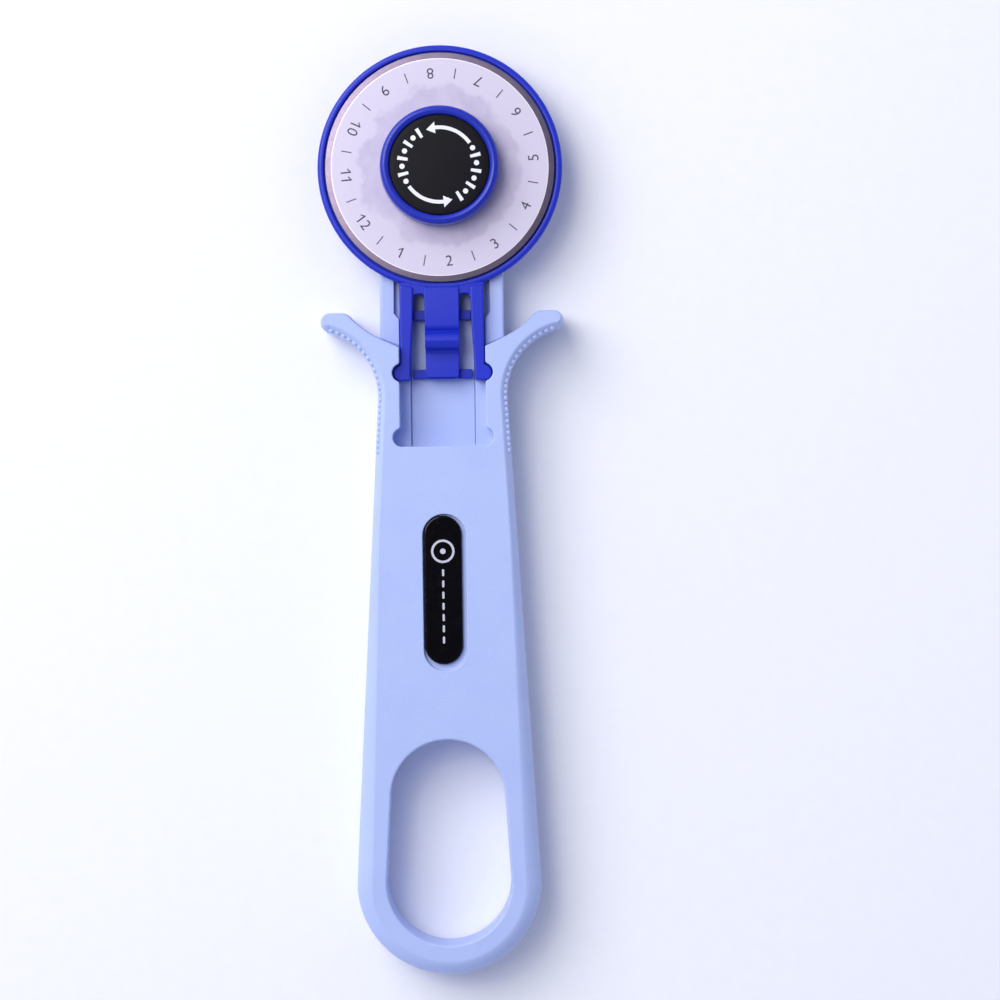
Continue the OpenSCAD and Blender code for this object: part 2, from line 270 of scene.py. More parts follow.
def bring(obj, body, material, slot, *nodes, angle=32):
    """Finishes a piece: clean mesh, shading, material, body and replaced solids. The slot argument is not
    used.
    """
    edit(obj, "ALL")
    bpy.ops.mesh.remove_doubles(threshold=0.001 * MM)
    bpy.ops.mesh.select_all(action="SELECT")
    bpy.ops.mesh.dissolve_degenerate(threshold=0.0005 * MM)
    only(obj)
    bpy.ops.object.shade_smooth_by_angle(angle=math.radians(angle))
    mod = obj.modifiers.new("even", "WEIGHTED_NORMAL")
    mod.keep_sharp, mod.weight = True, 60
    bpy.ops.object.modifier_apply(modifier=mod.name)
    obj.data.materials.clear()
    obj.data.materials.append(material)
    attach(obj, body)
    if nodes:
        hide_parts(*nodes)
    spans = [[getattr(v.co, axis) / MM for v in obj.data.vertices] for axis in "xyz"]
    print(obj.name, "mm:", [f"{min(span):.2f}..{max(span):.2f}" for span in spans],
          len(obj.data.polygons), "faces")
    return obj


# %% [markdown]
# ## Colours and the node helper
#
# Colours are written as sRGB hex, as a paint chart gives them, and turned to linear light by one
# function. `node` adds one shader node with its settings and its links, whatever its kind.

# %% Colour and nodes
def linear(hex_colour):
    """An sRGB hex colour as linear red, green, blue and alpha."""
    parts = [int(hex_colour[i : i + 2], 16) / 255 for i in (1, 3, 5)]
    return tuple(c / 12.92 if c <= 0.04045 else ((c + 0.055) / 1.055) ** 2.4 for c in parts) + (1.0,)


def node(tree, kind, settings=None, **inputs):
    """Adds a node. An input is a value, or a socket that is linked.

    An input is named with _ for each space, or by its number, as in i0.
    """
    made = tree.nodes.new(kind)
    for key, value in (settings or {}).items():
        setattr(made, key, value)
    for key, value in inputs.items():
        socket = made.inputs[int(key[1:])] if key[0] == "i" and key[1:].isdigit() else (
            made.inputs[key.replace("_", " ")])
        if isinstance(value, bpy.types.NodeSocket):
            tree.links.new(value, socket)
        else:
            socket.default_value = value
    return made


def new_material(name):
    """A material with its shader, output and the piece's own coordinates."""
    material = bpy.data.materials.new(name)
    material.use_nodes = True
    tree = material.node_tree
    tree.nodes.clear()
    shader = node(tree, "ShaderNodeBsdfPrincipled")
    node(tree, "ShaderNodeOutputMaterial", Surface=shader.outputs["BSDF"])
    where = node(tree, "ShaderNodeTexCoord").outputs["Object"]
    return material, tree, shader, where


def blend_of(tree, factor, first, second):
    """The colour between two colours or colour sockets."""
    mix = node(tree, "ShaderNodeMix", {"data_type": "RGBA"}, i0=factor, i6=first, i7=second)
    return mix.outputs[2]


def per_mm(size):
    """Noise scale that gives features of about this many millimetres."""
    return 1 / (size * MM)


# %% [markdown]
# ## Moulded plastics
#
# The handle is satin ABS: the mould was spark-eroded, so the skin has a fine even grain that breaks
# up reflections, and the flow of the plastic leaves very slight cloudy changes of tone. Its real grain
# is about 0.15 mm, too fine to show at this distance, so it is drawn at 0.6 mm. The guard and
# knob are a glossier polypropylene in a strong blue. One function makes each, with its own grain.

# %% Moulded plastic
def moulded(name, base, shade, roughness, grain_mm, grain_depth, ior=1.53, coat=0.0, cloud_mm=9.0,
            cloud_share=0.5, shine=0.5, spread=0.06):
    """A plastic with clouds between two tones, and a grain that changes its roughness and its skin."""
    material, tree, shader, where = new_material(name)
    cloud = node(tree, "ShaderNodeTexNoise", Vector=where, Scale=per_mm(cloud_mm), Detail=3.0,
                 Roughness=0.55)
    mild = node(tree, "ShaderNodeMapRange", Value=cloud.outputs["Fac"], From_Min=0.3, From_Max=0.7,
                To_Min=0.0, To_Max=cloud_share)
    colour = blend_of(tree, mild.outputs["Result"], linear(base), linear(shade))
    tree.links.new(colour, shader.inputs["Base Color"])
    grain = node(tree, "ShaderNodeTexNoise", Vector=where, Scale=per_mm(grain_mm), Detail=2.0)
    rough = node(tree, "ShaderNodeMapRange", Value=grain.outputs["Fac"], From_Min=0.25, From_Max=0.75,
                 To_Min=roughness - spread, To_Max=roughness + spread)
    tree.links.new(rough.outputs["Result"], shader.inputs["Roughness"])
    skin = node(tree, "ShaderNodeBump", Height=grain.outputs["Fac"], Strength=0.35,
                Distance=grain_depth * MM)
    tree.links.new(skin.outputs["Normal"], shader.inputs["Normal"])
    shader.inputs["IOR"].default_value = ior
    shader.inputs["Coat Weight"].default_value = coat
    shader.inputs["Coat Roughness"].default_value = 0.15
    shader.inputs["Specular IOR Level"].default_value = shine
    return material


handle_abs = moulded("satin_abs_periwinkle", "#b3c3f0", "#abbbec", 0.42, 0.6, 0.1)
guard_pp = moulded("gloss_polypropylene_royal_blue", "#182ebf", "#1428ae", 0.34, 0.5, 0.003,
                   ior=1.49, coat=0.08, shine=0.35, spread=0.02)
knob_pp = moulded("gloss_polypropylene_knob_blue", "#172aae", "#13249c", 0.30, 0.5, 0.003,
                  ior=1.49, coat=0.08, shine=0.4, spread=0.02)
cap_abs = moulded("satin_abs_black", "#09070f", "#120e1a", 0.5, 0.3, 0.015, cloud_mm=4,
                 shine=0.16)
badge_acrylic = moulded("gloss_acrylic_black", "#040306", "#08060c", 0.12, 1.2, 0.004, ior=1.49,
                        coat=0.1, shine=0.25)
bush_acetal = moulded("turned_acetal_white", "#e4e4e6", "#d8d8dc", 0.38, 0.2, 0.01, ior=1.48)
print("plastics:", [m.name for m in bpy.data.materials])

# %% [markdown]
# ## Metals and marks
#
# The blade is tungsten tool steel, ground flat and lapped, so it looks like a pale satin mirror with
# fine arcs left by the wheel, and a faint darker cloudy tone round the pivot is a painted reflection of
# the knob. The grind at the edge is polished and shows dark and bright bands; a thin near-white ring
# inside it is a painted highlight. Zinc plate on the bolt and screws is bluish and a little mottled.
# Brass is warm.

# %% Steel, zinc and brass
def metal(name, base, shade, roughness, mottle_mm, scratch_mm, depth=0.004, spread=0.08):
    """A metal mottled between two tones, with fine scratches."""
    material, tree, shader, where = new_material(name)
    mottle = node(tree, "ShaderNodeTexNoise", Vector=where, Scale=per_mm(mottle_mm), Detail=4.0)
    colour = blend_of(tree, mottle.outputs["Fac"], linear(base), linear(shade))
    tree.links.new(colour, shader.inputs["Base Color"])
    shader.inputs["Metallic"].default_value = 1.0
    fine = node(tree, "ShaderNodeTexNoise", Vector=where, Scale=per_mm(scratch_mm), Detail=3.0)
    rough = node(tree, "ShaderNodeMapRange", Value=fine.outputs["Fac"], From_Min=0.3, From_Max=0.7,
                 To_Min=roughness - spread / 2, To_Max=roughness + spread)
    tree.links.new(rough.outputs["Result"], shader.inputs["Roughness"])
    bump = node(tree, "ShaderNodeBump", Height=fine.outputs["Fac"], Strength=0.3, Distance=depth * MM)
    tree.links.new(bump.outputs["Normal"], shader.inputs["Normal"])
    return material


zinc = metal("zinc_plated_steel", "#b8bcc6", "#9fa4b2", 0.30, 1.6, 0.25)
spring = metal("blued_spring_steel", "#8d929e", "#6d727f", 0.32, 1.2, 0.2)
brass = metal("turned_brass", "#cfa350", "#b88a3c", 0.25, 1.5, 0.2)


def ground_blade():
    """Lapped steel: a cloudy darker tone by distance from the pivot, a painted reflection of the knob; fine
    wheel arcs; a polished edge.
    """
    material, tree, shader, where = new_material("lapped_tool_steel")
    centred = node(tree, "ShaderNodeMapping", {"vector_type": "POINT"}, Vector=where,
                   Location=(-PIVOT_X * MM, -PIVOT_Y * MM, 0))
    flat = node(tree, "ShaderNodeVectorMath", {"operation": "MULTIPLY"},
                i0=centred.outputs["Vector"], i1=(1, 1, 0))
    radius = node(tree, "ShaderNodeVectorMath", {"operation": "LENGTH"},
                  i0=flat.outputs["Vector"]).outputs["Value"]
    drift = node(tree, "ShaderNodeTexNoise", Vector=where, Scale=per_mm(7), Detail=4.0, Roughness=0.6)
    shift = node(tree, "ShaderNodeMath", {"operation": "MULTIPLY_ADD"},
                 i0=drift.outputs["Fac"], i1=9 * MM, i2=radius)
    knob_reflection_zone = node(tree, "ShaderNodeMapRange", Value=shift.outputs["Value"], From_Min=19.6 * MM,
                From_Max=20.6 * MM, To_Min=1.0, To_Max=0.0)
    soft = node(tree, "ShaderNodeTexNoise", Vector=where, Scale=per_mm(3), Detail=3.0)
    painted_reflection_share = node(tree, "ShaderNodeMath", {"operation": "MULTIPLY"},
                      i0=knob_reflection_zone.outputs["Result"], i1=soft.outputs["Fac"])
    # Within about 15 mm of the pivot, with a ragged rim, the steel takes the darker tone: a painted
    # reflection of the dark knob.
    colour = blend_of(tree, painted_reflection_share.outputs["Value"], linear("#d3cde0"), linear("#bbb2cc"))
    tree.links.new(colour, shader.inputs["Base Color"])
    shader.inputs["Metallic"].default_value = 0.72
    stretched = node(tree, "ShaderNodeMath", {"operation": "MULTIPLY"}, i0=radius, i1=6.0)
    arcs = node(tree, "ShaderNodeCombineXYZ", X=stretched.outputs["Value"])
    wheel = node(tree, "ShaderNodeTexNoise", Vector=arcs.outputs["Vector"], Scale=per_mm(1.2),
                 Detail=2.0)
    rough = node(tree, "ShaderNodeMapRange", Value=wheel.outputs["Fac"], From_Min=0.3, From_Max=0.7,
                 To_Min=0.5, To_Max=0.62)
    tree.links.new(rough.outputs["Result"], shader.inputs["Roughness"])
    bump = node(tree, "ShaderNodeBump", Height=wheel.outputs["Fac"], Strength=0.12,
                Distance=0.006 * MM)
    tree.links.new(bump.outputs["Normal"], shader.inputs["Normal"])
    return material


blade_steel = ground_blade()
edge_steel = metal("polished_ground_edge", "#91859c", "#796c82", 0.36, 1.5, 0.5, depth=0.001,
                   spread=0.03)
# The thin near-white steel is a painted highlight: a ring just inside the grind, where the grind's shoulder
# would catch the light.
painted_highlight_steel = metal("painted_highlight_line", "#f4f2fb", "#e6e3ee", 0.5, 1.0, 0.3)
etched = moulded("etched_mark_grey", "#443e52", "#544d62", 0.6, 0.3, 0.01, cloud_mm=2)
print_white = moulded("pad_print_white", "#f2f2f6", "#e2e2ea", 0.5, 0.25, 0.01, cloud_mm=1.5)
print_grey = moulded("pad_print_grey", "#c9ccd6", "#b9bcc8", 0.45, 0.25, 0.01, cloud_mm=1.5)

# %% [markdown]
# ## The handle's outline
#
# The handle narrows from its loop end to a waist, then sweeps out into two finger wings. Half of it
# is drawn as arcs and one straight flank, then mirrored. Every point also gets a bevel width: wide
# round the loop, narrow on the waist, and only a fine edge on top of the wings.

# %% Handle outline and bevel
SPLIT, FACE = 6.6, 13.0
WAIST, WAIST_S, TAIL_R, TAIL_S, REACH = 12.7, 45.0, 18.1, 140.5, 158.6
FINE_BEVEL, WAIST_BEVEL, LOOP_BEVEL = 0.35, 1.4, 3
taper = math.asin((TAIL_R - WAIST) / (TAIL_S - WAIST_S))


def between(v, start, end):
    """How far a value has come from the start to the end, from 0 to 1."""
    return min(max((v - start) / (end - start), 0), 1)


def flank_x(s):
    """Half the handle's width at a distance down from the pivot, on its straight flank."""
    return WAIST + (s - WAIST_S) * math.tan(taper)


tail = arc(0, -TAIL_S, TAIL_R, -90, -math.degrees(taper), 40)
flank = [(flank_x(s), -s) for s in range(134, 53, -10)]
HOLLOW_X, HOLLOW_R, TIP = WAIST + 13.35, 13.35, (22, -30.3)
tip_angle = math.degrees(math.atan2(TIP[1] + WAIST_S, TIP[0] - HOLLOW_X))
under = arc(HOLLOW_X, -WAIST_S, HOLLOW_R, 180, tip_angle, 30)
tip = arc(*TIP, 1.88, tip_angle - 172, 90, 16)
brow = arc(19.75, -31.05, 2.6, 90, 135, 8) + arc(4.56, -17.15, 18, -43.5, -64.2, 8)
half = tail + flank + under + tip + brow
half_bevel = ([LOOP_BEVEL - 0.4 * between(-y, TAIL_S, REACH) for _, y in tail]
              + [WAIST_BEVEL + 1.6 * between(-y, 72, 135) for _, y in flank]
              + [WAIST_BEVEL] * len(under)
              + [1.3 - 0.95 * between(k, 1, 11) for k in range(1, len(tip) + 1)]
              + [FINE_BEVEL] * len(brow))
print("half outline:", len(half), "points; bevels:", len(half_bevel))

# %% [markdown]
# ## The two shells
#
# The bevel isn't a plain quarter round. It follows a superellipse, flatter in its middle, so light
# falls along it as one soft band. Eight rings are enough for that, and one more ring just inside the
# face keeps the big flat face from picking up a tilted shading at its border.

# %% Blank shells
SOFT, BEVEL_H, TERRACES = 1.45, 2.3, 8


def shell_blank(name, outline, bevels, foot_z, face_z):
    """Rings from the parting plane to the outer face, with a width of bevel for each point."""
    way = 1 if face_z > foot_z else -1
    rings = [at_height(outline, foot_z)]
    for k in range(TERRACES + 1):
        a = math.pi / 2 * k / TERRACES
        inset = 1 - math.cos(a) ** (2 / SOFT) if k < TERRACES else 1.0
        rise = math.sin(a) ** (2 / SOFT)
        z = face_z - way * BEVEL_H * (1 - rise)
        rings.append(at_height(grown(outline, [-b * inset for b in bevels]), z))
    rings.append(at_height(grown(outline, [-b - 0.15 for b in bevels]), face_z))
    return stack(name, rings)


RECESS_CORNER = (8.4, -35.25)
other_bevel = half_bevel[:0:-1]
front = shell_blank("handle_front_shell", mirrored(half + [RECESS_CORNER]),
                    half_bevel + [0.25, 0.25] + other_bevel, SPLIT, FACE)
back = shell_blank("handle_back_shell", mirrored(half), half_bevel + other_bevel, SPLIT, 0.0)

# %% [markdown]
# ## Openings in the shells
#
# Each opening is a cutter whose end flares by the radius that the moulded edge has, so cut and edge
# rounding are one step: 0.45 mm round the finger loop and 0.25 mm round the thumb recess. The recess
# has two pairs of round notches, where the balls of the guard's spring legs click in. A shallow
# round relief under the wings leaves room for the guard's ring when it is slid back.

# %% Finger loop, recess, badge pocket
LOOP_TOP, LOOP_TOP_R, LOOP_END, LOOP_END_R, LOOP_EDGE = -123.7, 11.2, -140.6, 12.2, -0.45
NOTCH_X, NOTCH_R, TRACK, NOTCHES = 8.1, 1.8, 8.45, (-53.1, -40.4)
EASE_R, RECESS_EDGE = 0.6, -0.25
POCKET, POCKET_DEEP, POCKET_EDGE = (-0.1, -83.6, 30.8, 8.5), 1.2, -0.2
RELIEF_Y, RELIEF_R, RELIEF_Z = -12.7, 24.3, 10.4


def loop_cutter():
    """The finger loop, with a soft mouth on both faces."""
    hole = two_rounds((0, LOOP_TOP), LOOP_TOP_R, (0, LOOP_END), LOOP_END_R, 40)
    return slab("cut", hole, 0.0, FACE, LOOP_EDGE, LOOP_EDGE)


rise = math.sqrt((NOTCH_R + EASE_R) ** 2 - (TRACK - NOTCH_X + EASE_R) ** 2)
lean = math.degrees(math.atan2(rise, TRACK - NOTCH_X + EASE_R))
low_y, high_y = NOTCHES
recess_half = (
    arc(NOTCH_X, low_y, NOTCH_R, -90, lean, 20)
    + arc(TRACK + EASE_R, low_y + rise, EASE_R, 180 + lean, 180, 5)
    + arc(TRACK + EASE_R, high_y - rise, EASE_R, 180, 180 - lean, 5)
    + arc(NOTCH_X, high_y, NOTCH_R, -lean, lean, 20)
    + arc(TRACK + EASE_R, high_y + rise, EASE_R, 180 + lean, 180, 5)
    + arc(TRACK + EASE_R, -35.606, EASE_R, 180, 115.4, 5)
    + [(8.75, -34.0)])
combine(front, slab("cut", mirrored(recess_half), SPLIT - 1, FACE, 0, RECESS_EDGE))
combine(front, loop_cutter())
combine(front, slab("cut", pill(*POCKET), FACE - POCKET_DEEP, FACE, 0.25, POCKET_EDGE))
combine(front, slab("cut", ring_of(0, RELIEF_Y, RELIEF_R, 160), SPLIT - 1, RELIEF_Z))
combine(back, loop_cutter())
print("front shell:", len(front.data.polygons), "faces; back shell:", len(back.data.polygons))

# %% [markdown]
# ## Inside the grip
#
# Both shells are hollow between the recess and the loop, to save plastic and stop sink marks. The
# screw bosses stay standing in the hollow, and four pegs on the front shell line the halves up.

# %% Hollow, bosses, pegs and screw holes
SCREWS = [(-7.2, -60.5), (7.2, -60.5), (0, -105.5), (0, -155.7)]
PEGS = [(16.4, -32.9), (-16.4, -32.9), (15.1, -133), (-15.1, -133)]
WALL, INSIDE_START, INSIDE_END = 2.4, 58, 109
BOSS_R, PEG_R, PEG_HOLE_R, PILOT_R, SHANK_HOLE_R, HEAD_HOLE_R = 3.3, 0.9, 0.95, 0.95, 1.15, 2.25


def hollow_cutter(low, high):
    """The hollow of the grip between two heights, with the bosses of three screws left out."""
    wide, slim = flank_x(INSIDE_END) - WALL, flank_x(INSIDE_START) - WALL
    corners = [(-wide, -INSIDE_END), (wide, -INSIDE_END), (slim, -INSIDE_START), (-slim, -INSIDE_START)]
    block = slab("cut", corners, low, high)
    for x, y in SCREWS[:3]:
        combine(block, slab("boss", ring_of(x, y, BOSS_R, 40), low - 1, high + 1))
    return block


combine(front, hollow_cutter(SPLIT - 0.5, FACE - WALL - 0.2))
combine(back, hollow_cutter(WALL - 0.4, SPLIT + 0.5))
for x, y in PEGS:
    combine(front, slab("peg", ring_of(x, y, PEG_R, 24), SPLIT - 2, SPLIT + 0.5, 0.2), "UNION")
    combine(back, slab("cut", ring_of(x, y, PEG_HOLE_R, 24), SPLIT - 2.2, SPLIT + 0.5))
for x, y in SCREWS:
    combine(front, slab("cut", ring_of(x, y, PILOT_R, 24), SPLIT - 0.5, 10.6))
    combine(back, slab("cut", ring_of(x, y, SHANK_HOLE_R, 24), 1.0, SPLIT + 0.5))
    combine(back, slab("cut", ring_of(x, y, HEAD_HOLE_R, 40), 0.0, 1.81, -0.2))

# %% [markdown]
# ## The neck
#
# The neck is a flat tongue with a round end that passes behind the blade. Its top is stepped: two
# side rails, then a track for the guard's legs, then a channel for its cross bars. The neck is made
# as one soft-edged slab and joined to the back shell, and the steps are cut into it afterwards. A fine
# groove runs along each side of the channel's floor.

# %% Neck, tracks, channel and bolt seat
NECK_W, RAIL_Z, NECK_BACK, CHANNEL_Z = 12.2, 8.2, 2.6, 5.6
CHANNEL_W, GROOVE_X, BORE_R, SEAT_W = 6.4, 6.29, 4.0, 5.65
neck_half = [(TRACK, -35.15), (NECK_W, -33.4)] + arc(0, 0, NECK_W, 0, 88, 40)
neck = slab("neck", mirrored(neck_half), NECK_BACK, RAIL_Z, 0.5, 0.45)
combine(back, neck, "UNION")
track_half = [(TRACK, -41.5), (TRACK, -29.7), (9.4, -28.5), (9.4, -19)]
combine(back, slab("cut", mirrored(track_half), SPLIT, RAIL_Z, 0, -0.22))
combine(back, slab("cut", oblong(CHANNEL_W, -54.9, -20), CHANNEL_Z, SPLIT, 0, -0.12))
for x in (-GROOVE_X, GROOVE_X):
    combine(back, slab("cut", pill(x, -40, 29.0, 0.22, 4), CHANNEL_Z - 0.35, CHANNEL_Z + 0.5))
combine(back, slab("cut", ring_of(0, 0, BORE_R, 64), -1, 12))
combine(back, slab("cut", oblong(SEAT_W, -SEAT_W, SEAT_W), NECK_BACK, 3.4, -0.3))
bring(front, "handle", handle_abs, "handle_plastic", "handle_front")
bring(back, "handle", handle_abs, "handle_plastic", "handle_back")

# %% [markdown]
# ## Grip ribs
#
# Under each wing and down the waist runs a row of small ribs that keeps the finger from slipping.
# Each stands on the bevel and has a round top. One rib is made from a ball whose lower half is pulled
# down, then it is copied along the outline, on both shells and both sides.

# %% One rib, copied along the waist
RIB_R, RIB_IN, RIB_TOP, RIBS_END = 0.53, 0.52, 12.65, -56.3
WING_STEP, WAIST_STEP = 1.32, 1.14


def rib_places():
    """Points at even steps along the outline, under the wing and down to the end of the ribbed part."""
    line = under[::-1] + [(flank_x(s), -s) for s in range(46, 59, 2)]
    inner = grown_open(line, -RIB_IN)
    spots, travelled, wanted = [], 0.0, 0.7
    for a, b in zip(inner, inner[1:]):
        step = math.dist(a, b)
        while wanted <= travelled + step:
            share = (wanted - travelled) / step
            spots.append((a[0] + (b[0] - a[0]) * share, a[1] + (b[1] - a[1]) * share))
            wanted += WING_STEP if b[1] > -42 else WAIST_STEP
        travelled += step
    return [p for p in spots if p[1] > RIBS_END]


def grown_open(line, by):
    """An open line that runs downwards on the +X side, moved to the inside of the handle."""
    moved = []
    for i, (x, y) in enumerate(line):
        a, b = line[max(i - 1, 0)], line[min(i + 1, len(line) - 1)]
        ax, ay = b[0] - a[0], b[1] - a[1]
        size = math.hypot(ax, ay)
        moved.append((x - by * ay / size, y + by * ax / size))
    return moved


def one_rib(low, high):
    """An upright rib with round ends between two heights, at the pivot."""
    clear()
    bpy.ops.mesh.primitive_uv_sphere_add(segments=12, ring_count=8, radius=RIB_R * MM,
                                         location=place(0, 0, high - RIB_R))
    rib = bpy.context.active_object
    bpy.ops.object.transform_apply(location=True, rotation=True, scale=True)
    shape = edit(rib)
    middle = (high - RIB_R - 0.01) * MM
    for v in shape.verts:
        v.select_set(v.co.z < middle)
    shape.select_flush(True)
    bpy.ops.transform.translate(value=(0, 0, (low + 2 * RIB_R - high) * MM))
    for v in shape.verts:
        end = high - RIB_R if v.co.z > middle else low + RIB_R
        v.co.z = (end + (v.co.z / MM - end) * 0.5) * MM if abs(v.co.z / MM - end) > 0.01 else v.co.z
    bmesh.update_edit_mesh(rib.data)
    clear()
    return rib


def joined(parts, name):
    """Several pieces as one, under one name."""
    clear()
    for part in parts:
        part.select_set(True)
    bpy.context.view_layer.objects.active = parts[0]
    bpy.ops.object.join()
    parts[0].name = parts[0].data.name = name
    return parts[0]


def copies(source, offsets, name):
    """Copies of a piece, each with its own mesh, moved by millimetres and joined into one."""
    made = []
    for dx, dy in offsets:
        twin = source.copy()
        twin.data = source.data.copy()
        bpy.context.scene.collection.objects.link(twin)
        only(twin)
        bpy.ops.transform.translate(value=(dx * MM, dy * MM, 0))
        bpy.ops.object.transform_apply(location=True, rotation=True, scale=True)
        made.append(twin)
    bpy.data.objects.remove(source)
    return joined(made, name)


spots = rib_places()
both = spots + [(-x, y) for x, y in spots]
print("ribs on each side:", len(spots))
front_ribs = copies(one_rib(SPLIT + 0.4, RIB_TOP), both, "front_grip_ribs")
back_ribs = copies(one_rib(FACE - RIB_TOP, SPLIT - 0.4), both, "back_grip_ribs")
bring(front_ribs, "handle", handle_abs, "handle_plastic")
bring(back_ribs, "handle", handle_abs, "handle_plastic")

# %% [markdown]
# ## Badge plate
#
# A black gloss plate is glued into the long pocket, a little above its middle. On it is a plain
# printed picture of a blade over a dashed cutting line, as a sewing tool might carry. It is printed
# ink, so each mark is a thin sheet that stands only a few hundredths of a millimetre proud.

# %% Badge and its print
BADGE_X, BADGE_Y, BADGE_TOP = -0.4, -83.1, FACE - 0.3
SUNK, PROUD = 0.02, 0.03
badge = slab("badge", pill(BADGE_X, BADGE_Y, 29.2, 7.5), FACE - POCKET_DEEP, BADGE_TOP, 0, 0.3)
bring(badge, "handle", badge_acrylic, "badge_plastic", "badge_plate")


def badge_mark(outline):
    """A printed mark on the badge."""
    return slab("mark", outline, BADGE_TOP - SUNK, BADGE_TOP + PROUD)


wheel = (BADGE_X, BADGE_Y + 7.6)
wheel_mark = badge_mark(ring_of(*wheel, 2.3, 48))
combine(wheel_mark, slab("cut", ring_of(*wheel, 1.85, 48), BADGE_TOP - 1, BADGE_TOP + 1))
dashes = [pill(BADGE_X, BADGE_Y + 3.4 - 2.2 * k, 1.4, 0.42, 8) for k in range(7)]
marks = [wheel_mark] + [badge_mark(outline) for outline in [ring_of(*wheel, 0.55, 24)] + dashes]
bring(joined(marks, "badge_print"), "handle", print_grey, "badge_plastic")

# %% [markdown]
# ## The blade
#
# The blade is a 45 mm disc with a ground edge on both faces. The disc is spun from a profile. The
# faces of the grind are then chosen by their place and given the polished steel, because the wheel
# leaves them brighter and sharper in reflection than the lapped face.

# %% Spun blade
# The width before the last is that of a thin ring on the top face, just inside the grind, which carries a
# painted highlight.
BLADE_Z, BLADE_TOP, BLADE_R, GRIND, HIGHLIGHT_W = 10.53, 10.83, 22.5, 1.1, 0.16
middle = (BLADE_Z + BLADE_TOP) / 2
profile = [(4.0, BLADE_Z), (BLADE_R - GRIND, BLADE_Z), (BLADE_R, middle - 0.03), (BLADE_R, middle + 0.03),
           (BLADE_R - GRIND, BLADE_TOP), (BLADE_R - GRIND - HIGHLIGHT_W, BLADE_TOP), (4.0, BLADE_TOP)]
blade = turned("blade_disc", profile, 240)
bring(blade, "blade", blade_steel, "blade_steel", "blade", angle=8)
blade.data.materials.append(edge_steel)
blade.data.materials.append(painted_highlight_steel)
# Faces of the grind get the polished steel; a thin ring on the top face just inside it gets the near-white
# steel, a painted highlight.
for face in blade.data.polygons:
    c = face.center / MM
    out = math.hypot(c.x - PIVOT_X, c.y - PIVOT_Y)
    if out > BLADE_R - GRIND:
        face.material_index = 1
    elif out > BLADE_R - GRIND - HIGHLIGHT_W and face.normal.z > 0:
        face.material_index = 2
print("ground faces:", sum(f.material_index == 1 for f in blade.data.polygons))

# %% [markdown]
# ## Numbers and ticks on the blade
#
# The scale from 1 to 12 lets the user turn the blade to a fresh place. The marks are etched, grey and
# thin. Each number is a text object, made into a mesh before it is placed, with its top towards the
# pivot. The typeface's one is a bare stroke, so it gets a short flag to set it apart from the ticks
# that stand half way between the numbers.

# %% Etched scale
MARK_R, MARK_H, FIRST = 18.6, 2.15, -85.0


def number(text, angle):
    """A figure or two at an angle round the pivot, and the flags of its ones."""
    clear()
    bpy.ops.object.text_add()
    obj = bpy.context.active_object
    obj.data.body = text
    obj.data.align_x, obj.data.align_y = "CENTER", "CENTER"
    obj.data.size = MARK_H / 0.72 * MM
    obj.data.offset = -0.006 * MM
    obj.data.extrude = 0.012 * MM
    bpy.ops.object.convert(target="MESH")
    obj = bpy.context.active_object
    lefts = [v.co.x / MM for v in obj.data.vertices]
    ones = [min(lefts)] if text[0] == "1" else []
    if text == "11":
        ones.append(min(x for x in lefts if x > 0))
    a = math.radians(angle)
    obj.rotation_euler = (0, 0, a + math.pi / 2)
    obj.location = place(MARK_R * math.cos(a), MARK_R * math.sin(a), BLADE_TOP + 0.004)
    only(obj)
    bpy.ops.object.transform_apply(location=True, rotation=True, scale=True)
    return [obj] + [flag(x + 0.02, angle) for x in ones]


def turned_points(points, angle):
    """Points given along and across a radius, turned to its angle about the pivot."""
    c, s = math.cos(math.radians(angle)), math.sin(math.radians(angle))
    return [(x * c - y * s, x * s + y * c) for x, y in points]


def etched_mark(points, angle):
    """A thin sheet on the blade, drawn along a radius and turned to its angle."""
    return slab("mark", turned_points(points, angle), BLADE_TOP - 0.008, BLADE_TOP + 0.016)


def tick(angle):
    """A short stroke half way between two numbers."""
    near, far = MARK_R - 1.02, MARK_R + 1.02
    return etched_mark([(near, -0.1), (far, -0.1), (far, 0.1), (near, 0.1)], angle)


def flag(across_place, angle):
    """The short stroke at the top of a figure one. The top of a figure is the end near the pivot."""
    r, y = MARK_R - MARK_H / 2, across_place
    return etched_mark([(r, y), (r + 0.25, y), (r + 0.68, y - 0.5), (r + 0.5, y - 0.66)], angle)


scale_marks = []
for n in range(1, 13):
    scale_marks += number(str(n), FIRST + 30 * (n - 2))
    scale_marks.append(tick(FIRST + 30 * (n - 2) + 15))
bring(joined(scale_marks, "blade_scale"), "blade", etched, "blade_steel")

# %% [markdown]
# ## The guard
#
# The guard is one blue moulding. A thin plate lies behind the blade, with a raised rim round it and
# an oblong slot along the bush. Below it hang two spring legs and the thumb tongue. The tongue is
# drawn from the side, where its ridge shows, and extruded across. The apron below the ring has the
# round mouth of a slot on each side of the tongue.

